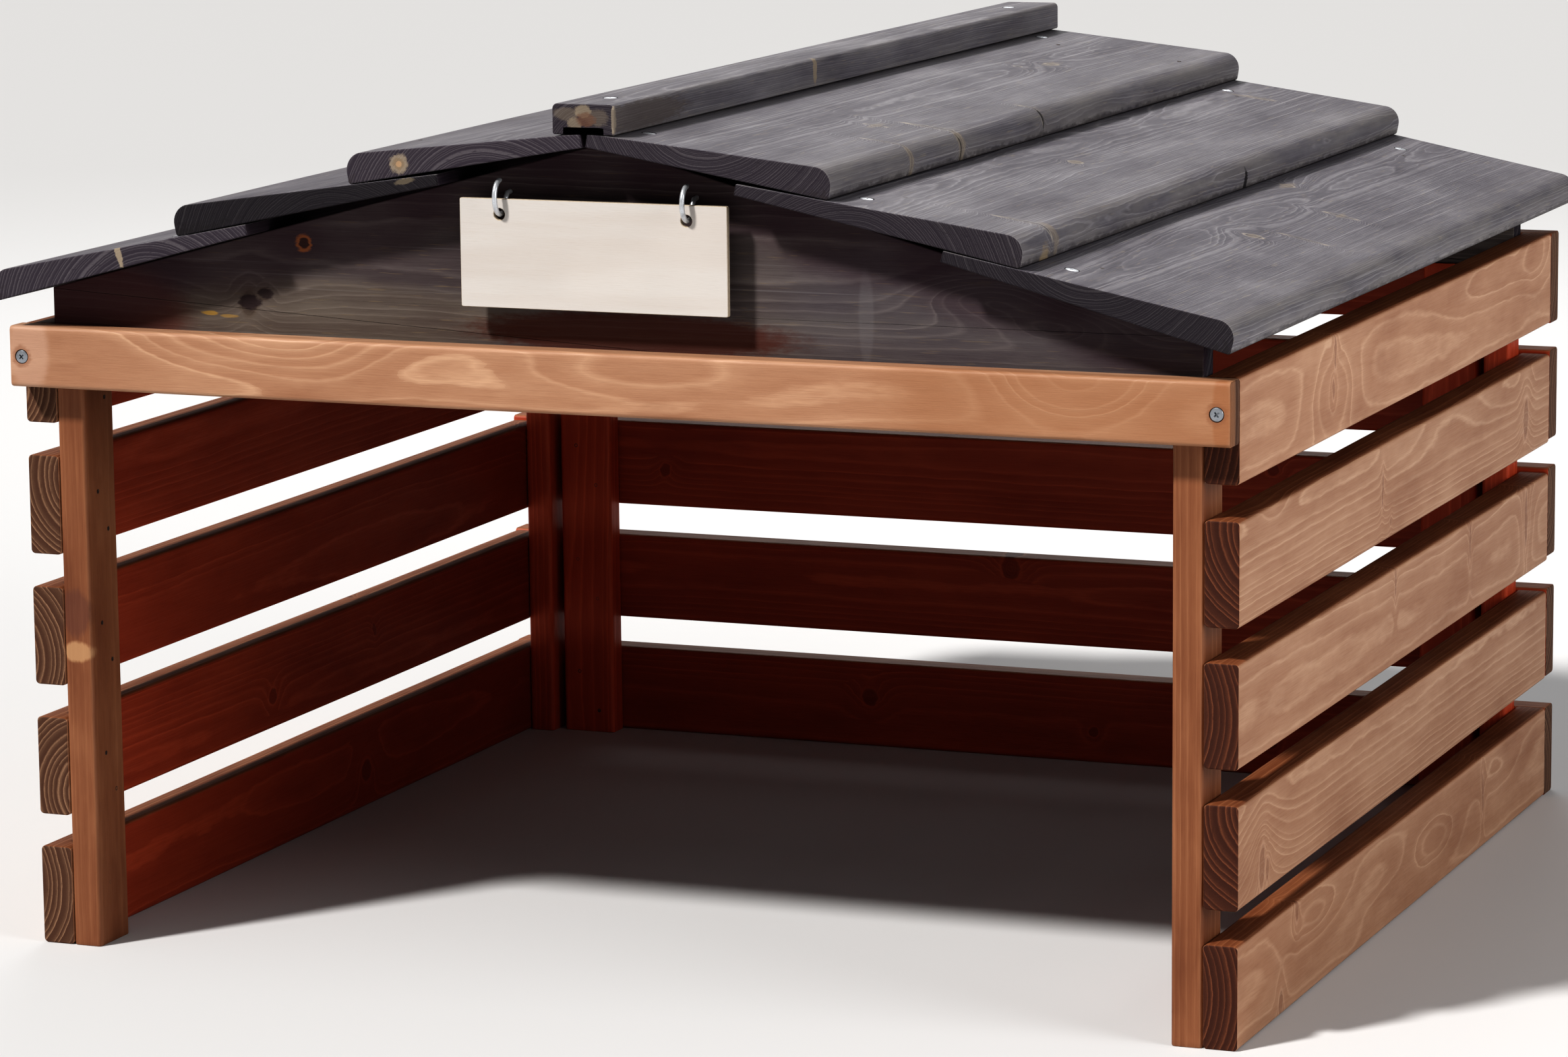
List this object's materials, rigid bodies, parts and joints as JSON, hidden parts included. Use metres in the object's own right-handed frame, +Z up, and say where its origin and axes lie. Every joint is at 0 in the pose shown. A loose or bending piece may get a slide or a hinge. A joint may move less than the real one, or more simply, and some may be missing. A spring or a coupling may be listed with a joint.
{
  "type": "slatted animal shelter",
  "caption": "Small open-fronted timber shelter with slatted sides and back, a low gable roof of overlapping wedge boards, and a blank plate on hooks.",
  "frame": {"origin": "on the ground, under the middle of the roof", "axes": "+Z up, the open front faces -Y, +X to the right when looking at the front"},
  "size_m": [0.88, 0.88, 0.6007],
  "materials": {
    "base_timber": "planed softwood, translucent terracotta stain, satin",
    "roof_timber": "planed softwood, translucent anthracite stain, matt",
    "plywood": "bare sanded birch plywood",
    "zinc": "bright zinc plating"
  },
  "bodies": {
    "shelter": {"left_slat_1": "base_timber", "left_slat_2": "base_timber", "left_slat_3": "base_timber", "left_slat_4": "base_timber", "left_slat_5": "base_timber", "right_slat_1": "base_timber", "right_slat_2": "base_timber", "right_slat_3": "base_timber", "right_slat_4": "base_timber", "right_slat_5": "base_timber", "back_slat_1": "base_timber", "back_slat_2": "base_timber", "back_slat_3": "base_timber", "back_slat_4": "base_timber", "back_slat_5": "base_timber", "front_left_post": "base_timber", "front_right_post": "base_timber", "rear_left_post": "base_timber", "rear_right_post": "base_timber", "back_left_batten": "base_timber", "back_right_batten": "base_timber", "front_rail": "base_timber", "front_gable": "roof_timber", "rear_gable": "roof_timber", "front_left_rafter": "roof_timber", "front_right_rafter": "roof_timber", "rear_left_rafter": "roof_timber", "rear_right_rafter": "roof_timber", "roof_left_board_1": "roof_timber", "roof_left_board_2": "roof_timber", "roof_left_board_3": "roof_timber", "roof_right_board_1": "roof_timber", "roof_right_board_2": "roof_timber", "roof_right_board_3": "roof_timber", "ridge_batten": "roof_timber", "left_hook": "zinc", "right_hook": "zinc", "rail_left_screw": "zinc", "rail_right_screw": "zinc", "ridge_front_screw": "zinc", "ridge_rear_screw": "zinc", "roof_left_front_screw_1": "zinc", "roof_left_front_screw_2": "zinc", "roof_left_front_screw_3": "zinc", "roof_left_rear_screw_1": "zinc", "roof_left_rear_screw_2": "zinc", "roof_left_rear_screw_3": "zinc", "roof_right_front_screw_1": "zinc", "roof_right_front_screw_2": "zinc", "roof_right_front_screw_3": "zinc", "roof_right_rear_screw_1": "zinc", "roof_right_rear_screw_2": "zinc", "roof_right_rear_screw_3": "zinc"},
    "sign": {"sign_plate": "plywood"}
  },
  "joints": [
    {"name": "sign_swing", "type": "hinge", "parent": "shelter", "child": "sign", "pos_m": [0, -0.426, 0.5255], "axis": [-1, 0, 0], "range_deg": [-12, 20]}
  ]
}
